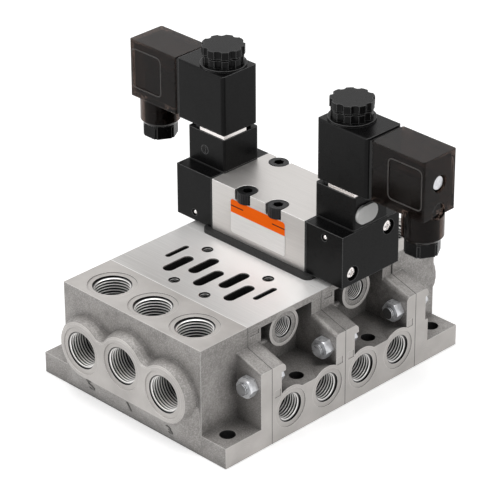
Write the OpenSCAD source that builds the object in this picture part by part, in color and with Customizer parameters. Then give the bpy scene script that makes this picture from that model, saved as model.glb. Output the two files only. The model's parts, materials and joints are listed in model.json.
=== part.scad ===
// Double solenoid spool valve on one station of a two-station manifold row.
// X runs along the spool, Y along the row of stations, Z up, all in millimetres.
// The origin is on the mounting surface, in the middle of the footprint.

/* [Manifold row] */
// Pitch of the stations along the row
pitch = 43; // [42.5:0.5:47]
// Height of the machined top faces
block_h = 49; // [48:0.5:54]
// Width of the top faces across the row
top_w = 81; // [80:0.5:85]
// Width over the feet
foot_w = 108.6; // [107:0.2:114]
// Width of a station's core between its side recesses
core_w = 62; // [61.5:0.5:65]
// Height of a station's toes
toe_h = 20.3; // [20:0.1:21.5]
// Thickness of the top plate over the side recesses
plate_t = 3; // [2:0.5:4]
// Depth of an end plate without its port boss
end_depth = 26.5; // [26:0.5:32]
// Height of an end plate's feet
end_foot_h = 9.5; // [8:0.5:12]
// How far the port boss of an end plate stands out
boss_out = 6; // [5:0.5:8]
// Radius of each lobe of the port boss
lobe_r = 11.9; // [11:0.1:12.1]

/* [Flanges] */
// Height of a flange at its outer edge
flange_h = 35.4; // [34:0.2:37]
// Rise of a flange from its outer edge to the top plate
flange_rise = 4.4; // [3:0.2:6]
// Thickness of a station's flange web
flange_t = 5.5; // [4.5:0.5:6]
// Thickness of an end plate's flange
end_flange_t = 6.2; // [5:0.2:7]
// Depth of the rim that stiffens a flange
rim_d = 7.9; // [7:0.1:8.2]
// Thickness of that rim
rim_t = 4; // [3:0.5:4.5]
// Distance of the joint bolts from the middle of the row
bolt_x = 48.2; // [47.5:0.1:49]
// Height of the joint bolts
bolt_z = 28; // [27:0.5:29]

/* [Ports] */
// Major thread radius of the large ports in the end plates
port_big_r = 8.33; // [8:0.01:8.5]
// Major thread radius of the station outlets
port_mid_r = 6.58; // [6.4:0.01:6.7]
// Major thread radius of the pilot supply ports
port_small_r = 4.86; // [4.7:0.01:5]
// Thread depth of the large ports
port_depth = 12; // [10:0.5:13]
// Distance of the outer supply galleries from the middle one
gallery_x = 24.5; // [24.3:0.1:24.7]
// Height of the outer galleries
gallery_z = 24.8; // [24.5:0.1:26]
// How much higher the middle gallery lies
gallery_step = 2.9; // [2:0.1:3.5]
// Radius of the galleries
gallery_r = 5.2; // [4.5:0.1:5.4]
// Height of the station outlets
outlet_z = 12.8; // [12.5:0.1:13.2]
// Distance of each outlet from its station's near or far joint
outlet_y = 10.7; // [10.5:0.1:11]
// Radius of the round pilot supply boss
pilot_boss_r = 8.35; // [7.5:0.05:8.6]

/* [Valve interface] */
// Shift of the interface from the middle of its station
face_shift = -1; // [-1.2:0.1:-0.6]
// Length of the flow slots
slot_len = 16; // [14:0.5:17]
// Width of the flow slots
slot_w = 5.2; // [4.8:0.1:5.5]
// Spacing of the flow slots along the spool
slot_pitch = 9; // [8.8:0.1:9.2]
// Spacing of the two fixing holes nearest the front
fix_near = 18; // [17.8:0.1:18.2]
// Spacing of the two fixing holes at the back
fix_far = 36; // [35.6:0.1:36.4]
// Distance between the two rows of fixing holes
fix_rows = 28; // [27.8:0.1:28.2]
// Thickness of the rubber interface gasket
gasket_t = 2.1; // [1.5:0.1:2.5]

/* [Valve body and end caps] */
// Length of the aluminium body
body_len = 54.2; // [53.6:0.2:55]
// Depth of the body and the caps
body_d = 34; // [33:0.5:35]
// Height of the body and the caps
body_h = 23.7; // [23:0.1:25]
// Thickness of the gasket between body and cap
cap_gasket_t = 0.8; // [0.5:0.1:1]
// Length of an end cap without its gasket
cap_len = 20.7; // [20:0.1:22]
// Radius of the spool bore
bore_r = 7.2; // [7.1:0.05:7.4]
// Radius of the piston bore in the caps
piston_bore_r = 10.1; // [9.8:0.1:10.3]
// Full travel of the spool
spool_travel = 4.5; // [4:0.1:4.6]

/* [Pilot and coil] */
// Distance of the armature tube from the end of the valve body
stem_x = 9.9; // [9.7:0.1:10.4]
// Length of the pilot body along the spool
pilot_len = 21.8; // [21.4:0.1:22.2]
// Depth of the pilot body and the coil
coil_d = 20.4; // [20:0.1:22]
// Height of the pilot body
pilot_h = 15; // [14.5:0.1:16]
// Thickness of the pilot gasket
pilot_gasket_t = 0.6; // [0.4:0.1:0.8]
// Thickness of the steel yoke plate
yoke_t = 1.6; // [1.2:0.1:2]
// Length of the coil along the spool
coil_len = 28; // [27.5:0.1:29]
// Height of the coil
coil_h = 27.4; // [26.5:0.1:29]
// Outer radius of the armature tube
tube_r = 4.6; // [4.4:0.1:4.8]
// Radius of the plunger
plunger_r = 3.9; // [3.5:0.1:4]
// Lift of the plunger
plunger_lift = 1; // [0.6:0.1:1.2]
// Travel of the manual override button
override_travel = 1.5; // [1:0.1:1.6]
// Radius of the manual override button
override_r = 2; // [1.8:0.1:2.2]
// Outer radius of the fluted coil nut
nut_r = 9.3; // [9:0.1:9.8]
// Height of the coil nut
nut_h = 8.2; // [8:0.1:9]

/* [Cable connector] */
// Length of the connector housing
conn_len = 28.4; // [28:0.1:30]
// Depth of the connector housing
conn_d = 19; // [18.6:0.1:20]
// Height of the connector housing
conn_h = 26.6; // [26:0.1:28]
// Wall of the connector housing
conn_wall = 1.6; // [1.2:0.1:1.8]
// Outer radius of the cable entry
gland_r = 8.8; // [8.6:0.1:9]
// How far the cable entry hangs below the housing
gland_drop = 12.6; // [12:0.1:14]
// Height of the gland nut's head
gland_nut_h = 6.2; // [5.5:0.1:7]

/* [Hidden] */
$fn = 48;

// Small overlap that keeps cuts clean
eps = 0.01;
// Radial clearance of sliding and turning fits
fit = 0.05;
// Free clearance between parts that never touch
gap = 0.3;

// Sides of the valve, seen from the front of the row
sides = [-1, 1];
// Radius of the clearance holes in the end plate feet
foot_hole_r = 3.25;
// Radius of the fixing holes in the toes
toe_hole_r = 3;
// Distance of the foot and toe holes from the middle of the row
foot_hole_x = 47;
// Distance of the foot holes from the joint of their end plate
foot_hole_y = 18.2;
// Distance of the top ports from the joint of their end plate
top_port_y = 14;
// Radius and depth of the machined ring around a port
spot_margin = 2.1;
spot_depth = 0.4;
// Outer radius of an outlet boss, and of the passages behind the outlets
outlet_boss_r = port_mid_r + spot_margin + 1.4;
outlet_bore_r = gallery_r + 0.1;
// Thread depth and passage of the pilot supply ports
port_small_depth = 9;
port_small_bore_r = 2;
// Joint bolts and nuts, thread size 5
m5_r = 2.5;
m5_hole_r = 2.75;
m5_flats = 8;
m5_nut_h = 4;
m5_hex_head_h = 3.5;
m5_cap_r = 4.25;
m5_cap_h = 5;
m5_key = 4;
m5_socket_depth = 2.5;
// How far the valve's screws reach into the station
valve_screw_bite = 8;
// Joints of the row, with the flange thickness before and behind each
joint_y = [-pitch, 0, pitch];
joint_near_t = [end_flange_t, flange_t, flange_t];
joint_far_t = [flange_t, flange_t, end_flange_t];
// Depth of the tapped holes in the interface
tap_depth = 12;
// Ring seals that stop the galleries at each joint, and their grooves
joint_seal_r = gallery_r + 1.7;
joint_seal_section = 0.85;
// How far the boss swells towards the block, and the rounds between its lobes
lobe_swell = 2.2;
neck_round = 5;
// How far the boss stands proud of its skirt, and where the skirt flattens out
ring_proud = 0.15;
skirt_step = 1.6;
// How far a bolt shows past its nut, and the room kept free round a nut
stud_out = 1.6;
nut_room_r = m5_flats / sqrt(3) + 0.2;
// Inset of the flange face from the edge of the top plate
flange_inset = 0.4;
// Half width of the top plate at the flanges
shoulder_x = top_w / 2 - flange_inset;
// Middle of the interface within its station
face_y = pitch / 2 + face_shift;
// Offset of each row of flow slots from the middle of the interface
slot_row = 3;
// Narrow slots of the external pilot supply
pilot_slot_x = 26;
pilot_slot_y = 4;
pilot_slot_len = 13;
pilot_slot_w = 2.6;
// Height of the pilot supply port
pilot_port_z = block_h - pilot_boss_r - 0.05;
pilot_port_y = face_y + 0.5;
// Place of the valve
valve_y = face_y;
body_z = block_h + gasket_t;
body_top = body_z + body_h;
spool_z = body_z + body_h / 2;
cap_x = body_len / 2 + cap_gasket_t;
cap_end = cap_x + cap_len;
// Fixing screws of the valve: depth of their notches
notch_r = m5_cap_r + gap;
notch_floor = body_top - m5_cap_h;
// Grooves of the spool bore, spread between the walls at the ends of the body
end_wall = 4.6;
bore_pitch = (body_len - 2 * end_wall) / 5;
land_w = 4.6;
groove_r = bore_r + 1.8;
seal_x = [for (i = [-2.5 : 1 : 2.5]) i * bore_pitch];
seal_ring_r = 0.9;
seal_ring_pos = bore_r + 0.65;
spool_r = bore_r - 0.25;
neck_r = 4.6;
// Spool at rest against its left stop
spool_shift = -spool_travel / 2;
piston_len = 6;
piston_r = piston_bore_r - 0.1;
piston_seal_r = 0.9;
piston_room = spool_travel / 2 + gap;
// End cap screws and ball plugs
cap_screw_y = 10.7;
cap_screw_z = 6.85;
cap_screw_r = 1.5;
cap_screw_bite = 3.8;
cap_screw_head_r = 2.6;
cap_screw_head_h = 2;
cap_bore_r = 3.3;
cap_screw_sunk = 1.4;
ball_r = 1.5;
ball_x = 10.3;
ball_z = 8.2;
// Pilot: place of its axis, lower edge and the local offsets of its outline
tube_x = body_len / 2 + stem_x;
pilot_z = body_top + pilot_gasket_t;
pilot_in = 10.4;
pilot_out = pilot_len - pilot_in;
// Screws in two corners of the pilot, and the corners the yoke plate leaves free
pilot_screw_in = 4.5;
pilot_screw_r = 1.25;
pilot_screw_x = pilot_len / 2 - pilot_screw_in;
pilot_screw_y = coil_d / 2 - 3;
pilot_screw_head_r = 2.1;
pilot_corner = pilot_screw_in + pilot_screw_head_r + gap;
// How far the pilot screws reach into the cap
pilot_screw_bite = 3.1;
// Oval vent plug in the outer face of the pilot
vent_seat = 1.4;
vent_out = 1.3;
vent_w = 12;
vent_h = 8;
vent_y = -3.3;
vent_z = 6.1;
// Radius of the pilot air passage
passage_r = 1.2;
tube_flange_r = 7.5;
tube_flange_t = 2;
chamber_r = tube_r;
chamber_floor = 7;
seat_r = 2.5;
seat_top = 8.9;
seat_foot = 3.5;
orifice_r = 0.6;
plunger_foot = seat_top + 0.1;
plunger_len = 21;
core_z = plunger_foot + plunger_len + plunger_lift + 0.1;
spring_pocket = 8;
spring_r = 1.9;
spring_wire = 0.3;
override_x = 1.4;
override_z = 6.9;
override_len = 3.4;
// Coil and nut
yoke_z = pilot_h;
coil_z = yoke_z + yoke_t;
coil_top = coil_z + coil_h;
coil_in = 10;
coil_out = coil_len - coil_in;
washer_t = 1;
washer_r = coil_d / 2 - 0.2;
nut_z = coil_top + washer_t;
thread_r = 4;
thread_len = 6.4;
flutes = 9;
flute_r = 1.9;
flute_depth = 1.1;
// Connector
seal_t = 1.4;
conn_x = coil_out + seal_t;
conn_z = coil_z + 0.4;
conn_end = conn_x + conn_len;
conn_mid_z = conn_z + 14.2;
gland_x = conn_end - 8.3;
gland_z = conn_z - gland_drop;
gland_bore_r = 7;
gland_shank = 6.4;
cable_r = 4;
block_len = 20.6;
block_top = 13.4;
// Blades between the coil and the terminal block
blade_y = [-4.5, 0, 4.5];
blade_t = 0.8;
blade_h = 4.8;
blade_z = conn_mid_z - 9;
blade_root = 1;
blade_out = 6;
conn_screw_r = 1.5;
conn_head_r = 2.9;
conn_head_h = 2;
conn_hole_r = 3.8;
window_w = 17.4;
window_h = 17.6;
window_r = 2;
window_depth = 0.4;

// Helpers

// A cylinder along X from x0 to x1
module rod_x(r, x0, x1) {
    translate([x0, 0, 0])
        rotate([0, 90, 0])
            cylinder(r = r, h = x1 - x0);
}

// A cylinder along Y from y0 to y1
module rod_y(r, y0, y1) {
    translate([0, y0, 0])
        rotate([-90, 0, 0])
            cylinder(r = r, h = y1 - y0);
}

// A slot with round ends along Y, cut down from z = 0
module slot_y(len, w, depth) {
    translate([0, 0, -depth])
        linear_extrude(depth + 1)
            union() {
                square([w, len - w], center = true);
                for (s = sides)
                    translate([0, s * (len - w) / 2])
                        circle(w / 2);
            }
}

// A rectangle with rounded corners about its middle
module round_rect(w, h, r) {
    union() {
        square([w - 2 * r, h], center = true);
        square([w, h - 2 * r], center = true);
        for (x = sides, y = sides)
            translate([x * (w / 2 - r), y * (h / 2 - r)])
                circle(r);
    }
}

// A box with its four upright edges rounded
module round_box(x0, x1, d, z0, z1, r) {
    translate([(x0 + x1) / 2, 0, z0])
        linear_extrude(z1 - z0)
            round_rect(x1 - x0, d, r);
}

// Waste outside an edge that runs along X over length len and is rounded in six flats,
// of which the first and the last run on past the surface
module edge_waste(len, r) {
    out = r * (1 - sin(75));
    on = r * cos(75);
    rotate([90, 0, 90])
        linear_extrude(len)
            polygon(concat([[-r - on, 1], [-r - on, out]],
                [for (a = [75 : -15 : 15]) [r * (cos(a) - 1), r * (sin(a) - 1)]],
                [[out, -r - on], [1, -r - on], [1, 1]]));
}

// A helical spring as one swept wire
module coil_spring(r, wire, len, turns) {
    steps = 14;
    ring = 6;
    n = turns * steps;
    lift = (len - 2 * wire) / n;
    points = [for (i = [0 : n], k = [0 : ring - 1])
        let (a = i * 360 / steps, b = k * 360 / ring)
        [(r + wire * cos(b)) * cos(a), (r + wire * cos(b)) * sin(a),
            wire + i * lift + wire * sin(b)]];
    ends = [[for (k = [0 : ring - 1]) k],
        [for (k = [ring - 1 : -1 : 0]) n * ring + k]];
    skin = [for (i = [0 : n - 1], k = [0 : ring - 1])
        let (j = (k + 1) % ring)
        [i * ring + k, (i + 1) * ring + k, (i + 1) * ring + j, i * ring + j]];
    polyhedron(points = points, faces = concat(ends, skin), convexity = 8);
}

// A ring seal of round section about the Z axis
module ring_seal(r, section) {
    rotate_extrude()
        translate([r, 0])
            circle(section, $fn = 24);
}

// Manifold row

// Outline of a flange in X and Z, down to the surface it stands on
module flange_outline() {
    union() {
        translate([-core_w / 2, 0])
            square([core_w, block_h - eps]);
        for (s = [0, 1])
            mirror([s, 0])
                polygon([[core_w / 2 - 1, 0], [foot_w / 2, 0], [foot_w / 2, flange_h],
                    [shoulder_x, flange_h + flange_rise], [shoulder_x, block_h - eps],
                    [core_w / 2 - 1, block_h - eps]]);
    }
}

// Space inside the rim of a flange, in X and Z
module rim_pocket() {
    for (s = [0, 1])
        mirror([s, 0])
            polygon([[core_w / 2, toe_h], [foot_w / 2 + 1, toe_h],
                [foot_w / 2 + 1, flange_h - rim_t],
                [shoulder_x - rim_t, flange_h + flange_rise - rim_t],
                [shoulder_x - rim_t, block_h - plate_t],
                [core_w / 2, block_h - plate_t]]);
}

// Flange with a stiffening rim, from the joint at y = 0 towards +Y
module rimmed_flange(web) {
    slope = atan2(flange_rise, foot_w / 2 - shoulder_x);
    run = norm([flange_rise, foot_w / 2 - shoulder_x]);
    difference() {
        translate([0, rim_d, 0])
            rotate([90, 0, 0])
                linear_extrude(rim_d)
                    flange_outline();
        translate([0, rim_d + 1, 0])
            rotate([90, 0, 0])
                linear_extrude(rim_d + 1 - web)
                    rim_pocket();
        // the sloping rim is rounded along its free edge
        for (s = [0, 1])
            mirror([s, 0, 0])
                translate([shoulder_x, rim_d, flange_h + flange_rise])
                    rotate([0, slope, 0])
                        edge_waste(run + 2, 2.4);
    }
}

// Plain flange from the joint at y = 0 towards -Y
module plain_flange(web, edge) {
    slope = atan2(flange_rise, foot_w / 2 - shoulder_x);
    run = norm([flange_rise, foot_w / 2 - shoulder_x]);
    difference() {
        rotate([90, 0, 0])
            linear_extrude(web)
                flange_outline();
        for (s = [0, 1])
            mirror([s, 0, 0])
                translate([shoulder_x, -web, flange_h + flange_rise])
                    mirror([0, 1, 0])
                        rotate([0, slope, 0])
                            edge_waste(run + 2, edge);
    }
}

// Hole and machined ring of a port along +Z, mouth at z = 0
module port_cut(r, depth, bore_r, bore_depth) {
    translate([0, 0, -depth])
        cylinder(r = r, h = depth + 1);
    translate([0, 0, -bore_depth])
        cylinder(r = bore_r, h = bore_depth);
    translate([0, 0, -spot_depth])
        cylinder(r = r + spot_margin, h = spot_depth + 1);
}

// Heights of the three galleries
function gallery_height(i) = gallery_z + (i == 0 ? gallery_step : 0);

// Points along a round of the boss outline, each with the direction in which it swells
function boss_arc(centre, r, from, to, steps, first, swell) =
    [for (k = [first : steps - first])
        let (a = from + (to - from) * k / steps, way = [cos(a), sin(a)])
        [centre + r * way, swell * way]];

// Port boss with three lobes, flat in front and swelling out towards the block
module port_boss() {
    lobes = [for (i = [-1, 0]) [i * gallery_x, gallery_height(i)]];
    tilt = atan2(gallery_step, gallery_x);
    lean = acos(norm(lobes[1] - lobes[0]) / 2 / (lobe_r + neck_round));
    neck = lobes[0] + (lobe_r + neck_round) * [cos(tilt + lean), sin(tilt + lean)];
    left = concat(
        boss_arc(lobes[0], lobe_r, 270, tilt + lean, 18, 0, 1),
        boss_arc(neck, neck_round, tilt + lean - 180, tilt - lean, 6, 1, -1));
    middle = boss_arc(lobes[1], lobe_r, 180 + tilt - lean, lean - tilt, 8, 0, 1);
    right = [for (k = [len(left) - 1 : -1 : 0])
        [[-left[k][0].x, left[k][0].y], [-left[k][1].x, left[k][1].y]]];
    outline = concat(left, middle, right);
    n = len(outline);
    // depth and swelling of each ring, from inside the block to just behind the flat front
    rings = concat([[-1, lobe_swell]],
        [for (a = [0 : 18 : 72]) [boss_out * sin(a), lobe_swell * cos(a)]],
        [[boss_out - 0.07, -0.3]]);
    last = len(rings) - 1;
    points = [for (ring = rings, p = outline)
        let (q = p[0] + ring[1] * p[1]) [q.x, -ring[0], q.y]];
    ends = [[for (k = [n - 1 : -1 : 0]) k], [for (k = [0 : n - 1]) last * n + k]];
    skin = [for (j = [0 : last - 1], k = [0 : n - 1])
        let (m = (k + 1) % n)
        [j * n + m, (j + 1) * n + m, (j + 1) * n + k, j * n + k]];
    translate([0, -end_depth, 0]) {
        rotate([90, 0, 0])
            linear_extrude(boss_out)
                polygon([for (p = outline) p[0]]);
        polyhedron(points = points, faces = concat(ends, skin), convexity = 6);
    }
}

// One pair of discs of the skirt, at a depth in front of the block
module skirt_discs(depth, x, z, r) {
    for (s = sides)
        translate([s * x, -end_depth - depth, z])
            rod_y(r, 0, eps);
}

// Skirt that runs from below the lobes out and back to the block and its lower edge
module boss_skirt() {
    low = 0.4;
    hull() {
        skirt_discs(boss_out - ring_proud, gallery_x, gallery_z - 1.6, lobe_r - 1.7);
        skirt_discs(skirt_step, gallery_x, gallery_z - 4.6, lobe_r + 1.1);
        skirt_discs(skirt_step, gallery_x + 5, 9, 6.4);
    }
    hull() {
        skirt_discs(skirt_step, gallery_x, gallery_z - 4.6, lobe_r + 1.1);
        skirt_discs(skirt_step, gallery_x + 5, 9, 6.4);
        translate([0, -end_depth + 1, 0])
            rotate([90, 0, 0])
                linear_extrude(1)
                    polygon([[-top_w / 2 - 0.5, low], [top_w / 2 + 0.5, low],
                        [top_w / 2 - 1.5, gallery_z - 3], [1.5 - top_w / 2, gallery_z - 3]]);
    }
}

// End plate with its joint face at y = 0 and its body towards -Y
module end_plate(rim) {
    front = end_depth + boss_out;
    color("darkgray")
    difference() {
        union() {
            translate([-top_w / 2, -end_depth, 0])
                cube([top_w, end_depth, block_h]);
            translate([-foot_w / 2, -end_depth, 0])
                cube([foot_w, end_depth, end_foot_h]);
            if (rim)
                mirror([0, 1, 0])
                    rimmed_flange(end_flange_t);
            else
                plain_flange(end_flange_t, 0.6);
            port_boss();
            boss_skirt();
        }
        // front ports and the galleries behind them
        for (i = [-1 : 1])
            translate([i * gallery_x, -front, gallery_height(i)])
                rotate([90, 0, 0])
                    port_cut(port_big_r, port_depth, gallery_r, front + 1);
        // top ports down to the galleries
        for (i = [-1 : 1])
            translate([i * gallery_x, -top_port_y, block_h])
                port_cut(port_big_r, port_depth, gallery_r, block_h - gallery_height(i));
        for (s = sides) {
            translate([s * foot_hole_x, -foot_hole_y, -1])
                cylinder(r = foot_hole_r, h = end_foot_h + 2);
            translate([s * bolt_x, 0, bolt_z])
                rod_y(m5_hole_r, -rim_d - 1, 1);
            translate([s * bolt_x, 0, bolt_z])
                rod_y(nut_room_r, -end_flange_t - m5_nut_h - stud_out - gap, -end_flange_t - eps);
        }
        // the joint seals sit behind the far face of each joint
        if (rim)
            mirror([0, 1, 0])
                joint_grooves();
    }
}

// One station with its near joint at y = 0 and its far joint at y = pitch
module station_base() {
    color("darkgray")
    difference() {
        union() {
            translate([-foot_w / 2, 0, 0])
                cube([foot_w, pitch, toe_h]);
            translate([-core_w / 2, 0, 0])
                cube([core_w, pitch, block_h]);
            translate([-top_w / 2, 0, block_h - plate_t])
                cube([top_w, pitch, plate_t]);
            rimmed_flange(flange_t);
            translate([0, pitch, 0])
                plain_flange(flange_t, 2);
            for (s = [0, 1])
                mirror([s, 0, 0]) {
                    translate([0, pilot_port_y, pilot_port_z])
                        rod_x(pilot_boss_r, core_w / 2 - 1, top_w / 2 - 0.2);
                    // small rib between the rim and the pilot boss
                    translate([shoulder_x - rim_t + 0.5, 0, pilot_port_z - 4.5])
                        rod_y(1.4, rim_d - 1, pilot_port_y - 5);
                }
            // arched bosses of the two outlets, running out into the toe
            for (y = [outlet_y, pitch - outlet_y])
                translate([foot_w / 2 - 9, y, outlet_z])
                    rotate([0, 90, 0])
                        cylinder(r1 = toe_h - outlet_z - 0.3, r2 = outlet_boss_r, h = 9);
        }
        station_flow();
        station_fixings();
        joint_grooves();
    }
}

// Ports, galleries and slots of a station
module station_flow() {
    for (i = [-1 : 1]) {
        translate([i * gallery_x, 0, gallery_height(i)])
            rod_y(gallery_r, -1, pitch + 1);
        translate([i * 2 * slot_pitch, face_y - slot_row, block_h])
            slot_y(slot_len, slot_w, block_h - gallery_height(i));
    }
    // outlets 4 and 2 run under the galleries to the far row of slots
    for (s = sides) {
        y = s < 0 ? outlet_y : pitch - outlet_y;
        translate([0, y, outlet_z])
            rod_x(outlet_bore_r, s * slot_pitch - slot_w / 2, foot_w / 2);
        translate([foot_w / 2, y, outlet_z])
            rotate([0, 90, 0])
                port_cut(port_mid_r, port_depth, outlet_bore_r, port_depth + 1);
        translate([s * slot_pitch, face_y + slot_row, block_h])
            slot_y(slot_len, slot_w, block_h - outlet_z);
    }
    for (s = [0, 1])
        mirror([s, 0, 0]) {
            translate([top_w / 2 - 0.2, pilot_port_y, pilot_port_z])
                rotate([0, 90, 0])
                    port_cut(port_small_r, port_small_depth, port_small_bore_r,
                        top_w / 2 - pilot_slot_x);
            translate([pilot_slot_x, face_y + pilot_slot_y, block_h])
                slot_y(pilot_slot_len, pilot_slot_w, block_h - pilot_port_z + 1);
        }
}

// Tapped, bolt and mounting holes of a station
module station_fixings() {
    for (s = sides) {
        translate([s * fix_near / 2, face_y - fix_rows / 2, block_h - tap_depth])
            cylinder(r = m5_r, h = tap_depth + 1);
        translate([s * fix_far / 2, face_y + fix_rows / 2, block_h - tap_depth])
            cylinder(r = m5_r, h = tap_depth + 1);
        translate([s * foot_hole_x, pitch / 2, -1])
            cylinder(r = toe_hole_r, h = toe_h + 2);
        translate([s * bolt_x, 0, bolt_z])
            rod_y(m5_hole_r, -1, pitch + 1);
        // shallow pads for cast port numbers beside the outlets
        for (y = [1.6, pitch - 5])
            translate([s * foot_w / 2 - 0.3, y, toe_h + 0.6])
                cube([0.6, 3.4, 3.4]);
        translate([s * shoulder_x - 0.3, 1.8, block_h - plate_t - 2.4])
            cube([0.6, 5, 4]);
    }
}

module joint_bolts() {
    color("silver")
    for (j = [0 : 2], s = sides)
        translate([s * bolt_x, joint_y[j], bolt_z]) {
            rod_y(m5_r, -joint_near_t[j] - m5_nut_h - stud_out, joint_far_t[j]);
            translate([0, joint_far_t[j] + m5_hex_head_h, 0])
                rotate([90, 0, 0])
                    cylinder(r = m5_flats / sqrt(3), h = m5_hex_head_h, $fn = 6);
        }
}

module joint_nuts() {
    color("silver")
    for (j = [0 : 2], s = sides)
        translate([s * bolt_x, joint_y[j] - joint_near_t[j], bolt_z])
            rotate([90, 0, 0])
                difference() {
                    intersection() {
                        cylinder(r = m5_flats / sqrt(3), h = m5_nut_h, $fn = 6);
                        cylinder(r1 = m5_flats / 2 + 2, r2 = m5_flats / 2 + 0.25, h = m5_nut_h);
                    }
                    translate([0, 0, -1])
                        cylinder(r = m5_r + fit, h = m5_nut_h + 2);
                }
}

// Grooves for the joint seals, cut from a joint face at y = 0 towards +Y
module joint_grooves() {
    for (i = [-1 : 1])
        translate([i * gallery_x, 0, gallery_height(i)])
            difference() {
                rod_y(joint_seal_r + joint_seal_section + fit, -1, 2 * joint_seal_section);
                rod_y(joint_seal_r - joint_seal_section - fit, -2, 2 * joint_seal_section + 1);
            }
}

// Ring seals that stop the galleries at each joint, behind the joint face
module station_seals() {
    color("dimgray")
    for (y = joint_y, i = [-1 : 1])
        translate([i * gallery_x, y + joint_seal_section, gallery_height(i)])
            rotate([90, 0, 0])
                ring_seal(joint_seal_r, joint_seal_section - fit / 2);
}

// Valve body, spool and end caps

module interface_gasket() {
    color("black")
    translate([0, valve_y, block_h])
        difference() {
            linear_extrude(gasket_t)
                round_rect(body_len + 8.8, body_d + 5.2, 3);
            for (i = [-1 : 1])
                translate([i * 2 * slot_pitch, -slot_row, gasket_t])
                    slot_y(slot_len, slot_w, gasket_t + 1);
            for (s = sides) {
                translate([s * slot_pitch, slot_row, gasket_t])
                    slot_y(slot_len, slot_w, gasket_t + 1);
                translate([s * pilot_slot_x, pilot_slot_y, gasket_t])
                    slot_y(pilot_slot_len, pilot_slot_w, gasket_t + 1);
                translate([s * fix_near / 2, -fix_rows / 2, -1])
                    cylinder(r = m5_hole_r, h = gasket_t + 2);
                translate([s * fix_far / 2, fix_rows / 2, -1])
                    cylinder(r = m5_hole_r, h = gasket_t + 2);
            }
        }
}

// Places of the four valve screws, each facing the nearer side of the body
module each_valve_screw() {
    for (s = sides) {
        translate([s * fix_near / 2, valve_y - fix_rows / 2, 0])
            children();
        translate([s * fix_far / 2, valve_y + fix_rows / 2, 0])
            rotate([0, 0, 180])
                children();
    }
}

module valve_body() {
    color("gainsboro")
    difference() {
        translate([-body_len / 2, valve_y - body_d / 2, body_z])
            cube([body_len, body_d, body_h]);
        translate([0, valve_y, spool_z]) {
            rod_x(bore_r, -body_len, body_len);
            for (i = [-2 : 2])
                rod_x(groove_r, i * bore_pitch - land_w / 2, i * bore_pitch + land_w / 2);
            for (x = seal_x)
                rod_x(seal_ring_pos + seal_ring_r, x - seal_ring_r - fit, x + seal_ring_r + fit);
            for (s = [0, 1])
                mirror([s, 0, 0])
                    rod_x(piston_bore_r, body_len / 2 - piston_room, body_len);
        }
        for (i = [-2 : 2])
            translate([i * bore_pitch, valve_y + (i % 2 == 0 ? -slot_row : slot_row), body_z])
                rotate([180, 0, 0])
                    slot_y(slot_len, slot_w - 0.6, body_h / 2 - bore_r + 1.5);
        each_valve_screw() {
            translate([0, 0, notch_floor])
                cylinder(r = notch_r, h = m5_cap_h + 1);
            translate([-notch_r, -body_d, notch_floor])
                cube([2 * notch_r, body_d, m5_cap_h + 1]);
            translate([0, 0, body_z - 1])
                cylinder(r = m5_hole_r, h = body_h + 2);
        }
        both_caps()
            each_cap_screw()
                rod_x(cap_screw_r + fit, body_len / 2 - cap_screw_bite - gap, body_len);
    }
}

module valve_screws() {
    color("black")
    each_valve_screw() {
        difference() {
            translate([0, 0, notch_floor])
                cylinder(r = m5_cap_r, h = m5_cap_h);
            translate([0, 0, body_top - m5_socket_depth])
                cylinder(r = m5_key / sqrt(3), h = m5_socket_depth + 1, $fn = 6);
        }
        translate([0, 0, block_h - valve_screw_bite])
            cylinder(r = m5_r - fit, h = notch_floor - block_h + valve_screw_bite + eps);
    }
}

// Screws of the right-hand cap, on its diagonal
module each_cap_screw() {
    for (s = sides)
        translate([0, valve_y + s * cap_screw_y, spool_z + s * cap_screw_z])
            children();
}

// Everything of the right-hand cap turned half round about the Y axis
module both_caps() {
    for (turn = [0, 180])
        translate([0, 0, spool_z])
            rotate([0, turn, 0])
                translate([0, 0, -spool_z])
                    children();
}

module end_cap_gaskets() {
    color("black")
    both_caps()
        difference() {
            translate([body_len / 2, valve_y - body_d / 2, body_z])
                cube([cap_gasket_t, body_d, body_h]);
            translate([0, valve_y, spool_z])
                rod_x(piston_bore_r, 0, body_len);
            each_cap_screw()
                rod_x(cap_screw_r + fit, 0, body_len);
        }
}

// End cap for the right-hand side; the left one is drilled from its other face
module end_cap(turned) {
    face = turned ? 1 : 0;
    color("black")
    difference() {
        translate([cap_x, valve_y - body_d / 2, body_z])
            cube([cap_len, body_d, body_h]);
        translate([0, valve_y, spool_z])
            rod_x(piston_bore_r, 0, body_len / 2 + piston_len + piston_room);
        each_cap_screw() {
            rod_x(cap_screw_r + fit, 0, cap_end + 1);
            rod_x(cap_bore_r, cap_end - cap_screw_sunk - cap_screw_head_h, cap_end + 1);
        }
        // cross drilling that the ball closes
        translate([cap_x + ball_x, valve_y, spool_z + ball_z])
            rod_y(ball_r + fit, -body_d / 2 - 1, -body_d / 2 + 8);
        // pilot air passage and screw holes in the face under the pilot
        translate([tube_x, valve_y, spool_z])
            mirror([0, 0, face]) {
                cylinder(r = passage_r, h = body_h);
                rod_x(passage_r, body_len / 2 + piston_len - tube_x, 0);
                translate([0, 0, body_h / 2 - pilot_screw_bite - gap])
                    mirror([0, face, 0])
                        each_pilot_screw()
                            cylinder(r = pilot_screw_r + fit, h = body_h);
            }
    }
}

module end_cap_screws() {
    color("silver")
    both_caps()
        each_cap_screw() {
            rod_x(cap_screw_r, body_len / 2 - cap_screw_bite, cap_end - cap_screw_sunk - 1);
            rod_x(cap_screw_head_r, cap_end - cap_screw_sunk - cap_screw_head_h,
                cap_end - cap_screw_sunk);
        }
}

module ball_plugs() {
    color("silver")
    both_caps()
        translate([cap_x + ball_x, valve_y - body_d / 2 + ball_r + 0.2, spool_z + ball_z])
            sphere(ball_r);
}

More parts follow.
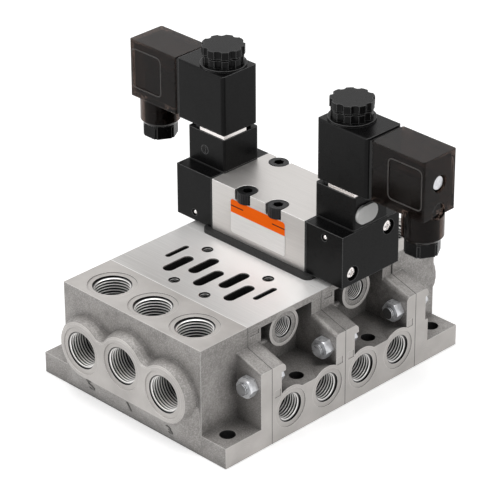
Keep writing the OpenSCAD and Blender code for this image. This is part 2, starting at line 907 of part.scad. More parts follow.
// Spool with its lands and necks, drawn at its left stop
module spool() {
    first_neck = bore_pitch / 2 + 0.1;
    second_land = 1.5 * bore_pitch + 0.1;
    end_land = 2 * bore_pitch + 0.2;
    color("silver")
    translate([spool_shift, valve_y, spool_z]) {
        rod_x(neck_r, -body_len / 2, body_len / 2);
        for (s = [0, 1])
            mirror([s, 0, 0]) {
                rod_x(spool_r, first_neck, second_land);
                rod_x(spool_r, end_land, body_len / 2);
            }
    }
}

module spool_seals() {
    color("dimgray")
    translate([0, valve_y, spool_z])
        for (x = seal_x)
            translate([x, 0, 0])
                rotate([0, 90, 0])
                    ring_seal(seal_ring_pos, seal_ring_r - 0.03);
}

// Piston against the right-hand end of the spool
module piston() {
    color("whitesmoke")
    translate([spool_shift, valve_y, spool_z])
        difference() {
            rod_x(piston_r, body_len / 2, body_len / 2 + piston_len);
            difference() {
                rod_x(piston_r + 1, body_len / 2 + 2, body_len / 2 + 4);
                rod_x(piston_r - 1.8, body_len / 2 + 1, body_len / 2 + 5);
            }
        }
}

module left_piston() {
    translate([2 * spool_shift, 0, 0])
        mirror([1, 0, 0])
            piston();
}

module piston_seals() {
    color("dimgray")
    translate([spool_shift, valve_y, spool_z])
        for (s = sides)
            translate([s * (body_len / 2 + 3), 0, 0])
                rotate([0, 90, 0])
                    ring_seal(piston_r - piston_seal_r, piston_seal_r);
}

module name_label() {
    label_w = 32;
    label_h = 16;
    color("orange")
    translate([0, valve_y - body_d / 2, notch_floor - label_h / 2])
        rotate([90, 0, 0])
            linear_extrude(0.15)
                round_rect(label_w, label_h, 1.5);
}

// Pilots, coils and connectors
// Each is drawn about its stem axis, with the pilot's foot at z = 0 and +X outwards

module both_sides() {
    for (turn = [0, 180])
        one_side(turn)
            children();
}

module one_side(turn) {
    translate([0, valve_y, pilot_z])
        rotate([0, 0, turn])
            translate([tube_x, 0, 0])
                children();
}

module each_pilot_screw() {
    for (s = sides)
        translate([s * pilot_screw_x + (pilot_out - pilot_in) / 2, s * pilot_screw_y, 0])
            children();
}

module pilot_gasket() {
    color("black")
    difference() {
        round_box(-pilot_in, pilot_out, coil_d, -pilot_gasket_t, 0, 1);
        translate([0, 0, -2])
            cylinder(r = passage_r, h = 3);
        each_pilot_screw()
            translate([0, 0, -2])
                cylinder(r = pilot_screw_r + fit, h = 3);
    }
}

module pilot_body() {
    color("black")
    difference() {
        round_box(-pilot_in, pilot_out, coil_d, 0, pilot_h, 1);
        translate([0, 0, -1])
            cylinder(r = passage_r, h = seat_foot + 2);
        translate([0, 0, seat_foot])
            cylinder(r = seat_r, h = pilot_h);
        translate([0, 0, chamber_floor])
            cylinder(r = chamber_r, h = pilot_h);
        translate([0, 0, pilot_h - tube_flange_t])
            cylinder(r = tube_flange_r + fit, h = pilot_h);
        each_pilot_screw()
            translate([0, 0, -1])
                cylinder(r = pilot_screw_r + fit, h = pilot_h + 2);
        translate([override_x, 0, override_z])
            rod_y(override_r + fit, coil_d / 2 - override_len - override_travel - gap, coil_d);
        vent_place()
            vent_shape(vent_seat + eps, fit);
    }
}

module vent_place() {
    translate([pilot_out - vent_seat, vent_y, vent_z])
        rotate([0, 90, 0])
            rotate([0, 0, 90])
                children();
}

module vent_shape(h, grow) {
    linear_extrude(h)
        round_rect(vent_w + 2 * grow, vent_h + 2 * grow, vent_h / 2 - 0.1 + grow);
}

module vent_plug() {
    color("lightgray")
    vent_place()
        vent_shape(vent_seat + vent_out, 0);
}

module pilot_screws() {
    color("dimgray")
    both_sides()
        each_pilot_screw() {
            translate([0, 0, -pilot_gasket_t - pilot_screw_bite])
                cylinder(r = pilot_screw_r, h = pilot_h + pilot_gasket_t + pilot_screw_bite);
            translate([0, 0, pilot_h])
                cylinder(r = pilot_screw_head_r, h = yoke_t - 0.2);
        }
}

module orifice_seat() {
    color("gold")
    difference() {
        translate([0, 0, seat_foot])
            cylinder(r = seat_r, h = chamber_floor - seat_foot + 0.4);
        translate([0, 0, seat_foot - 1])
            cylinder(r = orifice_r, h = 10);
    }
    color("gold")
    translate([0, 0, chamber_floor + 0.4])
        difference() {
            cylinder(r1 = seat_r, r2 = 1.1, h = seat_top - chamber_floor - 0.4);
            translate([0, 0, -1])
                cylinder(r = orifice_r, h = 10);
        }
}

module override_button() {
    color("black")
    translate([override_x, 0, override_z])
        difference() {
            rod_y(override_r, coil_d / 2 - override_len, coil_d / 2);
            // screwdriver slot
            translate([-0.35, coil_d / 2 - 0.5, -1.4])
                cube([0.7, 1, 2.8]);
        }
}

module override_spring() {
    len = override_travel + gap;
    color("silver")
    translate([override_x, coil_d / 2 - override_len - len, override_z])
        rotate([-90, 0, 0])
            coil_spring(override_r - 0.5, 0.2, len, 3);
}

module armature_tube() {
    color("silver")
    difference() {
        union() {
            translate([0, 0, pilot_h - tube_flange_t])
                cylinder(r = tube_flange_r, h = tube_flange_t);
            translate([0, 0, pilot_h - tube_flange_t])
                cylinder(r = tube_r, h = coil_top - pilot_h + tube_flange_t);
            translate([0, 0, coil_top])
                cylinder(r = thread_r, h = washer_t + thread_len);
        }
        translate([0, 0, pilot_h - tube_flange_t - 1])
            cylinder(r = plunger_r + fit, h = core_z - pilot_h + tube_flange_t + 1);
    }
}

module plunger() {
    color("gainsboro")
    translate([0, 0, plunger_foot])
        difference() {
            cylinder(r = plunger_r, h = plunger_len);
            translate([0, 0, plunger_len - spring_pocket])
                cylinder(r = spring_r + spring_wire + 0.15, h = spring_pocket + 1);
        }
}

module plunger_spring() {
    foot = plunger_foot + plunger_len - spring_pocket;
    color("silver")
    translate([0, 0, foot])
        coil_spring(spring_r, spring_wire, core_z - foot, 7);
}

// Steel plate under the coil, with two corners cut off for the pilot screws
module yoke_plate() {
    margin = 0.3;
    color("silver")
    difference() {
        translate([-pilot_in + margin, -coil_d / 2 + margin, yoke_z])
            cube([pilot_len - 2 * margin, coil_d - 2 * margin, yoke_t]);
        translate([0, 0, yoke_z - 1])
            cylinder(r = tube_r + 0.2, h = yoke_t + 2);
        translate([-pilot_in - 1, -coil_d / 2 - 1, yoke_z - 1])
            cube([pilot_corner + 1, pilot_corner + 1, yoke_t + 2]);
        translate([pilot_out - pilot_corner, coil_d / 2 - pilot_corner, yoke_z - 1])
            cube([pilot_corner + 1, pilot_corner + 1, yoke_t + 2]);
    }
}

module solenoid_coil() {
    color("black")
    difference() {
        intersection() {
            round_box(-coil_in, coil_out, coil_d, coil_z, coil_top, 1.6);
            // top edges eased along both sides
            translate([0, 0, coil_z])
                rotate([90, 0, 90])
                    translate([0, coil_h / 2, -coil_in - 1])
                        linear_extrude(coil_len + 2)
                            round_rect(coil_d, coil_h, 0.8);
        }
        translate([0, 0, coil_z - 1])
            cylinder(r = tube_r + 0.2, h = coil_h + 2);
        // pockets that hold the roots of the blades
        for (y = blade_y)
            translate([coil_out - blade_root - fit, y - blade_t / 2 - fit, blade_z - fit])
                cube([blade_root + 1, blade_t + 2 * fit, blade_h + 2 * fit]);
    }
}

module coil_terminals() {
    color("silver")
    for (y = blade_y)
        translate([coil_out - blade_root, y - blade_t / 2, blade_z])
            cube([blade_root + blade_out, blade_t, blade_h]);
}

module coil_washer() {
    color("black")
    translate([0, 0, coil_top])
        difference() {
            cylinder(r = washer_r, h = washer_t);
            translate([0, 0, -1])
                cylinder(r = tube_r + 0.2, h = washer_t + 2);
        }
}

// Fluted disc of the coil nut
module fluted_disc(r, h) {
    difference() {
        cylinder(r = r, h = h);
        for (i = [0 : flutes - 1])
            rotate([0, 0, i * 360 / flutes])
                translate([r - flute_depth + flute_r, 0, -1])
                    cylinder(r = flute_r, h = h + 2);
    }
}

module coil_nut() {
    lower_h = nut_h * 0.45;
    waist_h = nut_h * 0.1;
    color("black")
    translate([0, 0, nut_z])
        difference() {
            union() {
                fluted_disc(nut_r - 0.5, lower_h);
                cylinder(r = nut_r - 2.4, h = nut_h - 0.5);
                translate([0, 0, lower_h + waist_h])
                    fluted_disc(nut_r, nut_h - lower_h - waist_h);
            }
            translate([0, 0, -1])
                cylinder(r = thread_r + fit, h = thread_len + 1.2);
        }
}

module connector_gasket() {
    color("black")
    difference() {
        translate([coil_out, -conn_d / 2 + 0.6, conn_z + 0.6])
            cube([seal_t, conn_d - 1.2, conn_h - 1.2]);
        translate([coil_out - 1, -6, blade_z - 1])
            cube([seal_t + 2, 12, blade_h + 2]);
        translate([0, 0, conn_mid_z])
            rod_x(conn_screw_r + 0.2, coil_out - 1, conn_x + 1);
    }
}

// Smoked housing: a shell open towards the coil, with the cable entry below
module connector_housing() {
    color([0.16, 0.13, 0.12, 0.8])
    difference() {
        union() {
            round_box(conn_x, conn_end, conn_d, conn_z, conn_z + conn_h, 0.8);
            translate([gland_x, 0, gland_z + 1.6])
                cylinder(r = gland_r, h = gland_drop + 2);
            translate([gland_x, 0, gland_z])
                cylinder(r1 = gland_r - 1.1, r2 = gland_r, h = 1.6);
        }
        difference() {
            translate([conn_x - 1, -conn_d / 2 + conn_wall, conn_z + conn_wall])
                cube([conn_len - conn_wall + 1, conn_d - 2 * conn_wall, conn_h - 2 * conn_wall]);
            // hollow pillar that carries the screw
            translate([0, 0, conn_mid_z])
                rod_x(conn_hole_r + 1, conn_end - 4.6, conn_end);
        }
        translate([gland_x, 0, gland_z - 1])
            cylinder(r = gland_bore_r, h = gland_drop + 1);
        translate([gland_x, 0, gland_z])
            cylinder(r = cable_r + 1.2, h = gland_drop + conn_wall + 1);
        translate([0, 0, conn_mid_z]) {
            rod_x(conn_hole_r, conn_end - 3, conn_end + 1);
            rod_x(conn_screw_r + 0.2, conn_end - 6, conn_end + 1);
        }
        // arched relief in the outer wall above the cable entry
        translate([0, 0, conn_z + 1.9])
            rod_x(3.5, conn_end - 1, conn_end + 1);
        translate([conn_end - 1, -3.5, conn_z - 1])
            cube([2, 7, 2.9]);
        for (s = [0, 1])
            mirror([0, s, 0])
                translate([conn_x + 18.3, -conn_d / 2 + window_depth, conn_z + 13.6])
                    rotate([90, 0, 0])
                        linear_extrude(1)
                            round_rect(window_w, window_h, window_r);
    }
}

module terminal_block() {
    side = conn_d / 2 - conn_wall - 0.1;
    color("dimgray")
    difference() {
        translate([conn_x, -side, conn_z + conn_wall + 0.1])
            cube([block_len, 2 * side, block_top - conn_wall]);
        for (y = blade_y)
            translate([conn_x - 1, y - blade_t / 2 - 0.2, blade_z - gap])
                cube([blade_out + 1, blade_t + 0.4, blade_h + 2 * gap]);
        translate([0, 0, conn_mid_z])
            rod_x(conn_screw_r + 0.2, conn_x - 1, conn_x + block_len + 1);
        // clamp screws of the three wires
        for (y = blade_y)
            translate([conn_x + 11, y, conn_z + block_top - 3])
                cylinder(r = 1.4, h = 5);
    }
}

module connector_screw() {
    color("silver")
    translate([0, 0, conn_mid_z]) {
        rod_x(conn_screw_r, coil_out, conn_end - 1.5);
        rod_x(conn_head_r, conn_end - 3, conn_end - 1);
    }
}

module gland_seal() {
    color("dimgray")
    translate([gland_x, 0, gland_z + gland_shank + 0.2])
        difference() {
            cylinder(r = gland_bore_r - fit, h = gland_drop - gland_shank - 0.4);
            translate([0, 0, -1])
                cylinder(r = cable_r - 0.6, h = gland_drop);
        }
}

module gland_nut() {
    color("black")
    translate([gland_x, 0, gland_z])
        difference() {
            union() {
                translate([0, 0, -gland_nut_h])
                    intersection() {
                        cylinder(r = gland_bore_r + 1, h = gland_nut_h, $fn = 6);
                        cylinder(r = gland_bore_r + 0.6, h = gland_nut_h);
                    }
                translate([0, 0, -1])
                    cylinder(r = gland_bore_r - fit, h = gland_shank + 1);
            }
            translate([0, 0, -gland_nut_h - 1])
                cylinder(r = cable_r, h = gland_nut_h + gland_shank + 2);
            // grip notches between the six faces
            for (i = [0 : 5])
                rotate([0, 0, i * 60])
                    translate([gland_bore_r + 0.9, 0, -gland_nut_h - 1])
                        cylinder(r = 0.7, h = gland_nut_h);
        }
}

// Nodes

translate([0, -pitch, 0]) end_plate(false);  // near_end_plate
translate([0, -pitch, 0]) station_base();  // station_base_1
station_base();  // station_base_2
translate([0, pitch, 0]) mirror([0, 1, 0]) end_plate(true);  // rear_end_plate
station_seals();
joint_bolts();
joint_nuts();
interface_gasket();
valve_body();
valve_screws();
end_cap_gaskets();
translate([0, 0, 2 * spool_z]) rotate([0, 180, 0]) end_cap(true);  // left_end_cap
end_cap(false);  // right_end_cap
end_cap_screws();
ball_plugs();
spool();
spool_seals();
left_piston();
piston();  // right_piston
piston_seals();
name_label();
both_sides() pilot_gasket();  // pilot_gaskets
pilot_screws();
both_sides() vent_plug();  // vent_plugs
both_sides() coil_washer();  // coil_washers
both_sides() connector_screw();  // connector_screws
one_side(180) pilot_body();  // left_pilot_body
one_side(0) pilot_body();  // right_pilot_body
one_side(180) orifice_seat();  // left_orifice_seat
one_side(0) orifice_seat();  // right_orifice_seat
one_side(180) override_button();  // left_override_button
one_side(0) override_button();  // right_override_button
one_side(180) override_spring();  // left_override_spring
one_side(0) override_spring();  // right_override_spring
one_side(180) armature_tube();  // left_armature_tube
one_side(0) armature_tube();  // right_armature_tube
one_side(180) plunger();  // left_plunger
one_side(0) plunger();  // right_plunger
one_side(180) plunger_spring();  // left_plunger_spring
one_side(0) plunger_spring();  // right_plunger_spring
one_side(180) yoke_plate();  // left_yoke_plate
one_side(0) yoke_plate();  // right_yoke_plate
one_side(180) solenoid_coil();  // left_coil
one_side(0) solenoid_coil();  // right_coil
one_side(180) coil_terminals();  // left_coil_terminals
one_side(0) coil_terminals();  // right_coil_terminals
one_side(180) coil_nut();  // left_coil_nut
one_side(0) coil_nut();  // right_coil_nut
one_side(180) connector_gasket();  // left_connector_gasket
one_side(0) connector_gasket();  // right_connector_gasket
one_side(180) connector_housing();  // left_connector_housing
one_side(0) connector_housing();  // right_connector_housing
one_side(180) terminal_block();  // left_terminal_block
one_side(0) terminal_block();  // right_terminal_block
one_side(180) gland_seal();  // left_gland_seal
one_side(0) gland_seal();  // right_gland_seal
one_side(180) gland_nut();  // left_gland_nut
one_side(0) gland_nut();  // right_gland_nut
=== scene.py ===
"""Looks of a solenoid valve on a two station manifold row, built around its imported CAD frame."""
import json
import math

import bmesh
import bpy
from mathutils import Matrix, Vector
from mathutils.bvhtree import BVHTree


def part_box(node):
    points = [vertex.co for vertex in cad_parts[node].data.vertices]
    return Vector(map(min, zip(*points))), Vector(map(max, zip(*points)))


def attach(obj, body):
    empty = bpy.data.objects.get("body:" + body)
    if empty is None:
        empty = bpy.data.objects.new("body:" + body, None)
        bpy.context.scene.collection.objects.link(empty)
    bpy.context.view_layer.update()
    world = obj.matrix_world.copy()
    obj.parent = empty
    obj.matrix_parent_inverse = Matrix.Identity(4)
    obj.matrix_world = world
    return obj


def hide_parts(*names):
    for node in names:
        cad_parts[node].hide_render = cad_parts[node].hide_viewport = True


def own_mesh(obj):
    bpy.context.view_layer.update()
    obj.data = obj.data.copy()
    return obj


MM = 0.001
SIDES = (("left", -1), ("right", 1))

# Camera, at the photograph's viewing angle
camera = bpy.data.objects.new("camera", bpy.data.cameras.new("camera"))
bpy.context.scene.collection.objects.link(camera)
bpy.context.scene.camera = camera
camera.location = (0.730453, -0.7291031, 0.61476361)
camera.rotation_euler = (1.07181966, 0.00392922, 0.78496415)
camera.data.lens = 202.011
camera.data.sensor_width = 36

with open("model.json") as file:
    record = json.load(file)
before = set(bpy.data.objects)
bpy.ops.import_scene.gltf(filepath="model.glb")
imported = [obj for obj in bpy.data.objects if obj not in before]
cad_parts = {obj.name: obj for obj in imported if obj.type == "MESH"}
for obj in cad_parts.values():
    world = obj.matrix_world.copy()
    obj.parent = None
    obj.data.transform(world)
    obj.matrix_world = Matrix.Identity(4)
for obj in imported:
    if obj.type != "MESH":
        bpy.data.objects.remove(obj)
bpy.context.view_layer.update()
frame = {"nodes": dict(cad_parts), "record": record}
nodes = frame["nodes"]

# Sizes that the scene's own pieces and materials share with the CAD, in millimetres.
# The valve: its middle along the row, the spool's height and the armature tubes' x
VALVE_Y = 20.5
SPOOL_Z = 62.95
STEM_X = 37.0
# The row: its top, the length of a station and the middle of the free interface
TOP_Z = 49.0
STATION = 43.0
FREE_Y = -22.5
# Front and top ports: their places along the row, their spacing across it, the height of
# the outer front ports and how much higher the middle one is
MOUTH_Y = 75.5
TOP_PORT_Y = 57.0
PORT_PITCH = 24.5
PORT_Z = 24.8
PORT_RISE = 2.9
# Outlets and pilot ports, on the sides of the stations
OUTLET_X = 54.3
OUTLET_Y = (-32.3, -10.7, 10.7, 32.3)
OUTLET_Z = 12.8
OUTLET_PITCH = 21.5
PILOT_X = 40.3
PILOT_Y = (-22.0, 21.0)
PILOT_Z = 40.6
# Joint bolts: their axis, and the M5 thread that they share with the tapped holes
BOLT_X = 48.2
BOLT_Z = 28.0
M5_R = 2.5
M5_PITCH = 0.8
# The interface's screws and tapped holes, as x and y from its middle, on both sides
FIXINGS = ((9, -14), (18, 14))
# Holes through the toes and feet, as distance along the row and radius, all at one x
FOOT_X = 47.0
FOOT_HOLES = ((21.5, 3.1), (61.2, 3.35))

# Colour of what no light comes back from
NEAR_BLACK = (0.012, 0.012, 0.012)


# ---------------------------------------------------------------- materials

class Material:
    """A procedural material, made of nodes."""

    def __init__(self, name, color, roughness, metallic=0.0, **sockets):
        self.material = bpy.data.materials.new(name)
        self.material.use_nodes = True
        self.tree = self.material.node_tree
        self.tree.nodes.clear()
        self.out = self.tree.nodes.new("ShaderNodeOutputMaterial")
        self.shader = self.tree.nodes.new("ShaderNodeBsdfPrincipled")
        self.tree.links.new(self.shader.outputs[0], self.out.inputs[0])
        self.set("Base Color", (*color, 1.0))
        self.set("Roughness", roughness)
        self.set("Metallic", metallic)
        for key, value in sockets.items():
            self.set(key.replace("_", " "), value)
        self.normal = None
        self.place = self.add("ShaderNodeTexCoord").outputs["Object"]

    def add(self, kind, **settings):
        node = self.tree.nodes.new(kind)
        for key, value in settings.items():
            setattr(node, key, value)
        return node

    def feed(self, socket, value):
        if isinstance(value, bpy.types.NodeSocket):
            self.tree.links.new(value, socket)
        else:
            socket.default_value = value

    def set(self, key, value):
        self.feed(self.shader.inputs[key], value)

    def math(self, operation, *values):
        node = self.add("ShaderNodeMath", operation=operation)
        for socket, value in zip(node.inputs, values):
            self.feed(socket, value)
        return node.outputs[0]

    def axes(self):
        """The point's x, y and z in the row frame, in millimetres."""
        scaled = self.add("ShaderNodeVectorMath", operation="SCALE")
        self.feed(scaled.inputs[0], self.place)
        scaled.inputs["Scale"].default_value = 1 / MM
        split = self.add("ShaderNodeSeparateXYZ")
        self.feed(split.inputs[0], scaled.outputs[0])
        return split.outputs

    def facing(self):
        """The true normal's x, y and z in the row frame."""
        split = self.add("ShaderNodeSeparateXYZ")
        turned = self.add("ShaderNodeVectorTransform", vector_type="NORMAL",
                          convert_from="WORLD", convert_to="OBJECT")
        self.feed(turned.inputs[0], self.add("ShaderNodeNewGeometry").outputs["True Normal"])
        self.feed(split.inputs[0], turned.outputs[0])
        return split.outputs

    def noise(self, size, detail, stretch=(1, 1, 1)):
        """Noise from 0 to 1, with features of about size millimetres."""
        mapping = self.add("ShaderNodeMapping")
        self.feed(mapping.inputs["Vector"], self.place)
        mapping.inputs["Scale"].default_value = [s / (size * MM) for s in stretch]
        node = self.add("ShaderNodeTexNoise")
        self.feed(node.inputs["Vector"], mapping.outputs[0])
        node.inputs["Scale"].default_value = 1.0
        node.inputs["Detail"].default_value = detail
        return node.outputs["Fac"]

    def span(self, value, low, high, start=0.0, end=1.0):
        """Maps low to high onto start to end, and stays within them."""
        node = self.add("ShaderNodeMapRange", clamp=True)
        for socket, number in zip(node.inputs, (value, low, high, start, end)):
            self.feed(socket, number)
        return node.outputs[0]

    def within(self, value, low, high, soft=0.02):
        """1 where value lies between low and high, 0 outside."""
        above = self.span(value, low - soft, low + soft)
        below = self.span(value, high - soft, high + soft, 1.0, 0.0)
        return self.math("MULTIPLY", above, below)

    def all_of(self, *masks):
        """The product of masks: 1 only where each of them is."""
        result = masks[0]
        for mask in masks[1:]:
            result = self.math("MULTIPLY", result, mask)
        return result

    def length(self, first, second):
        """The distance from 0 of a point with these two coordinates."""
        square = self.math("ADD", self.math("MULTIPLY", first, first),
                           self.math("MULTIPLY", second, second))
        return self.math("SQRT", square)

    def rounded(self, across, up, half_across, half_up, radius):
        """1 within a rectangle about 0 with rounded corners, 0 outside it."""
        soft = 0.06
        out = [self.math("MAXIMUM", 0.0, self.math(
            "SUBTRACT", self.math("ABSOLUTE", value), half - radius))
            for value, half in ((across, half_across), (up, half_up))]
        return self.span(self.length(*out), radius - soft, radius + soft, 1.0, 0.0)

    def mix(self, share, first, second):
        """A colour that goes from first to second as share goes from 0 to 1."""
        node = self.add("ShaderNodeMix", data_type="RGBA")
        colors = [(*c, 1.0) if isinstance(c, tuple) and len(c) == 3 else c
                  for c in (first, second)]
        self.feed(node.inputs["Factor"], share)
        self.feed(node.inputs[6], colors[0])
        self.feed(node.inputs[7], colors[1])
        return node.outputs[2]

    def blend(self, share, first, second):
        """A number that goes from first to second as share goes from 0 to 1."""
        node = self.add("ShaderNodeMix", data_type="FLOAT")
        self.feed(node.inputs[0], share)
        self.feed(node.inputs[2], first)
        self.feed(node.inputs[3], second)
        return node.outputs[0]

    def soften(self, radius):
        """Rounds sharp edges in the shading."""
        node = self.add("ShaderNodeBevel", samples=6)
        node.inputs["Radius"].default_value = radius * MM
        self.normal = node.outputs[0]
        self.set("Normal", self.normal)

    def edges(self):
        """1 on the edges that soften rounds, 0 on flat faces."""
        gain = 6.0
        node = self.add("ShaderNodeVectorMath", operation="DOT_PRODUCT")
        self.feed(node.inputs[0], self.normal)
        self.feed(node.inputs[1], self.add("ShaderNodeNewGeometry").outputs["Normal"])
        return self.math("MINIMUM", 1.0, self.math("MULTIPLY", gain, self.math(
            "SUBTRACT", 1.0, node.outputs["Value"])))

    def open_air(self, reach, low, high):
        """How open the air within reach millimetres is: 0 at low or less, 1 at high or more."""
        node = self.add("ShaderNodeAmbientOcclusion", samples=6)
        node.inputs["Distance"].default_value = reach * MM
        return self.span(node.outputs["AO"], low, high)

    def bump(self, height, depth):
        """Raises the surface by depth millimetres times height."""
        node = self.add("ShaderNodeBump")
        node.inputs["Strength"].default_value = 1.0
        node.inputs["Distance"].default_value = depth * MM
        self.feed(node.inputs["Height"], height)
        if self.normal is not None:
            self.feed(node.inputs["Normal"], self.normal)
        self.normal = node.outputs[0]
        self.set("Normal", self.normal)


def cast_aluminium():
    """The castings of the row: as cast, but machined on their tops, port faces and toes."""
    m = Material("cast_aluminium", (0.36, 0.35, 0.34), 0.5, 0.55)
    m.soften(0.5)
    x, y, z = m.axes()
    nx, _, nz = m.facing()
    across = m.math("ABSOLUTE", x)
    along = m.math("ABSOLUTE", y)
    grain = m.noise(0.6, 2.0)
    patches = m.noise(14.0, 3.0)
    top = m.all_of(m.within(z, TOP_Z - 0.5, TOP_Z + 0.2), m.span(nz, 0.9, 0.99))
    station = m.all_of(top, m.span(along, STATION - 0.1, STATION, 1.0, 0.0))
    front = m.span(along, MOUTH_Y - 0.5, MOUTH_Y - 0.45)
    side = m.all_of(m.span(x, OUTLET_X - 0.7, OUTLET_X - 0.5), m.span(nx, 0.8, 0.95))
    # rings turned around the ports
    half = PORT_PITCH / 2
    port_x = m.math("SUBTRACT", m.math("WRAP", m.math("ADD", x, half), PORT_PITCH, 0.0), half)
    middle = m.span(across, half - 0.05, half + 0.05, PORT_RISE, 0.0)
    port_z = m.blend(top, m.math("SUBTRACT", z, m.math("ADD", middle, PORT_Z)),
                     m.math("SUBTRACT", along, TOP_PORT_Y))
    outlet_y = m.math("SUBTRACT", m.math("WRAP", y, OUTLET_PITCH, 0.0), OUTLET_PITCH / 2)
    outlet_z = m.math("SUBTRACT", z, OUTLET_Z)
    radius = m.blend(side, m.length(port_x, port_z), m.length(outlet_y, outlet_z))
    port_ring = m.blend(side, 12.0, 9.6)
    turning = m.math("ADD", m.math("SINE", m.math("MULTIPLY", radius, 9.0)), 1.0)
    milling = m.noise(0.5, 2.0, (0.02, 1.0, 1.0))
    pilot_mid = (PILOT_Y[1] - PILOT_Y[0]) / 2
    from_pilot = m.length(m.math("SUBTRACT", along, pilot_mid), m.math("SUBTRACT", z, PILOT_Z))
    pilot_face = m.all_of(m.within(across, PILOT_X - 0.2, PILOT_X + 0.2),
                          m.span(from_pilot, 8.6, 8.8, 1.0, 0.0),
                          m.span(m.math("ABSOLUTE", nx), 0.9, 0.99))
    machined = m.math("MAXIMUM", m.math("MAXIMUM", top, pilot_face),
                      m.math("MAXIMUM", front, side))
    # no light comes back from deep inside the row, its holes and its joints
    inside = m.all_of(m.span(across, 30.6, 30.7, 1.0, 0.0),
                      m.within(z, 1.0, TOP_Z - 0.6), m.span(along, 68.8, 69.0, 1.0, 0.0))
    hole_x = m.math("SUBTRACT", across, FOOT_X)
    for hole_y, hole_r in FOOT_HOLES:
        hole = m.length(hole_x, m.math("SUBTRACT", along, hole_y))
        inside = m.math("MAXIMUM", inside, m.span(hole, hole_r, hole_r + 0.05, 1.0, 0.0))
    joint = m.math("SUBTRACT", along, m.math("MULTIPLY", STATION, m.span(along, 20.0, 21.0)))
    seam = m.span(m.math("ABSOLUTE", joint), 0.1, 0.24, 1.0, 0.0)
    air = m.open_air(12.0, 0.1, 0.8)
    base = m.mix(m.span(patches, 0.3, 0.75), (0.23, 0.218, 0.208), (0.35, 0.333, 0.32))
    base = m.mix(m.span(grain, 0.42, 0.72, 0.0, 0.4), base, (0.6, 0.58, 0.56))
    base = m.mix(m.span(m.noise(3.2, 4.0), 0.5, 0.7, 0.0, 0.3), base, (0.12, 0.115, 0.11))
    # painted shade: the colour darkens towards black in corners and recesses, where the air is
    # closed
    base = m.mix(air, m.mix(0.8, base, (0.0, 0.0, 0.0)), base)
    cut = m.mix(m.span(patches, 0.3, 0.7), (0.43, 0.409, 0.392), (0.54, 0.516, 0.495))
    milled = m.mix(m.span(milling, 0.3, 0.7), (0.47, 0.457, 0.444), (0.57, 0.556, 0.542))
    # painted reflection: the milled tops grow lighter towards the middle of the row, where the
    # valve stands, and towards its +x side
    painted_sheen = m.math("SUBTRACT", along, m.math("MULTIPLY", 0.3, x))
    milled = m.mix(m.span(painted_sheen, 2.0, 46.0, 0.9, 0.0), milled, (0.98, 0.97, 0.96))
    color = m.mix(machined, base, m.mix(station, cut, milled))
    # painted highlight: open edges, where the air is open, turn lighter
    lit_edges = m.all_of(m.edges(), m.span(air, 0.75, 1.0, 0.0, 0.55))
    color = m.mix(lit_edges, color, (0.9, 0.88, 0.86))
    # painted highlight: a light line along the joints on the tops, where a chamfer would catch the
    # light
    color = m.mix(m.all_of(seam, top), color, (0.9, 0.89, 0.88))
    dark = m.math("MAXIMUM", m.all_of(seam, m.span(top, 0.0, 1.0, 0.9, 0.0)), inside)
    m.set("Base Color", m.mix(dark, color, NEAR_BLACK))
    m.set("Metallic", m.blend(machined, 0.4, m.blend(station, 0.45, 0.3)))
    m.set("Roughness", m.blend(machined, m.span(grain, 0.3, 0.7, 0.58, 0.44),
                               m.blend(station, 0.5, 0.42)))
    near_port = m.span(m.math("SUBTRACT", radius, port_ring), -1.4, 0.0, 1.0, 0.0)
    rings = m.all_of(machined, m.span(station, 0.0, 1.0, 1.0, 0.0), near_port, turning)
    m.bump(m.math("ADD", m.math("MULTIPLY", grain, m.span(machined, 0.0, 1.0, 1.0, 0.12)),
                  m.math("MULTIPLY", rings, 0.12)), 0.2)
    return m.material


def brushed_aluminium():
    """The valve body's aluminium, brushed along the spool."""
    m = Material("brushed_aluminium", (0.62, 0.6, 0.59), 0.36, 0.8)
    m.soften(0.35)
    brush = m.noise(0.3, 2.0, (0.02, 1.0, 1.0))
    color = m.mix(m.span(brush, 0.3, 0.7), (0.54, 0.52, 0.503), (0.6, 0.578, 0.56))
    # painted highlight: the edges turn lighter
    m.set("Base Color", m.mix(m.edges(), color, (0.95, 0.94, 0.93)))
    m.set("Roughness", m.span(brush, 0.3, 0.7, 0.4, 0.46))
    m.bump(brush, 0.012)
    return m.material


def metal(name, color, roughness, size, depth, stretch=(1, 1, 1)):
    """A bare metal with a grain of size and depth millimetres."""
    m = Material(name, color, roughness, 1.0)
    m.soften(0.15)
    grain = m.noise(size, 2.0, stretch)
    darker = tuple(c * 0.82 for c in color)
    m.set("Base Color", m.mix(m.span(grain, 0.3, 0.7), darker, color))
    m.set("Roughness", m.span(grain, 0.3, 0.7, roughness - 0.05, roughness + 0.07))
    m.bump(grain, depth)
    return m.material


def zinc_steel():
    """Zinc plate, with a bumped thread on the free ends of the joint bolts and painted shade in
    its roots.
    """
    m = Material("zinc_steel", (0.6, 0.61, 0.63), 0.3, 0.65)
    m.soften(0.12)
    x, y, z = m.axes()
    blotch = m.noise(2.0, 2.0)
    shank = m.length(m.math("SUBTRACT", m.math("ABSOLUTE", x), BOLT_X),
                     m.math("SUBTRACT", z, BOLT_Z))
    turns = m.math("SINE", m.math("MULTIPLY", y, 2 * math.pi / M5_PITCH))
    thread_share = m.span(shank, M5_R + 0.02, M5_R + 0.08, 1.0, 0.0)
    color = m.mix(m.span(blotch, 0.3, 0.7), (0.55, 0.56, 0.58), (0.82, 0.83, 0.85))
    # painted shade: dark lines in the roots of the bolts' thread
    color = m.mix(m.all_of(thread_share, m.span(turns, -0.2, 0.4, 1.0, 0.0)), color,
                  (0.12, 0.12, 0.12))
    m.set("Base Color", color)
    m.set("Roughness", m.span(blotch, 0.3, 0.7, 0.26, 0.38))
    m.bump(m.math("MULTIPLY", turns, thread_share), 0.12)
    return m.material


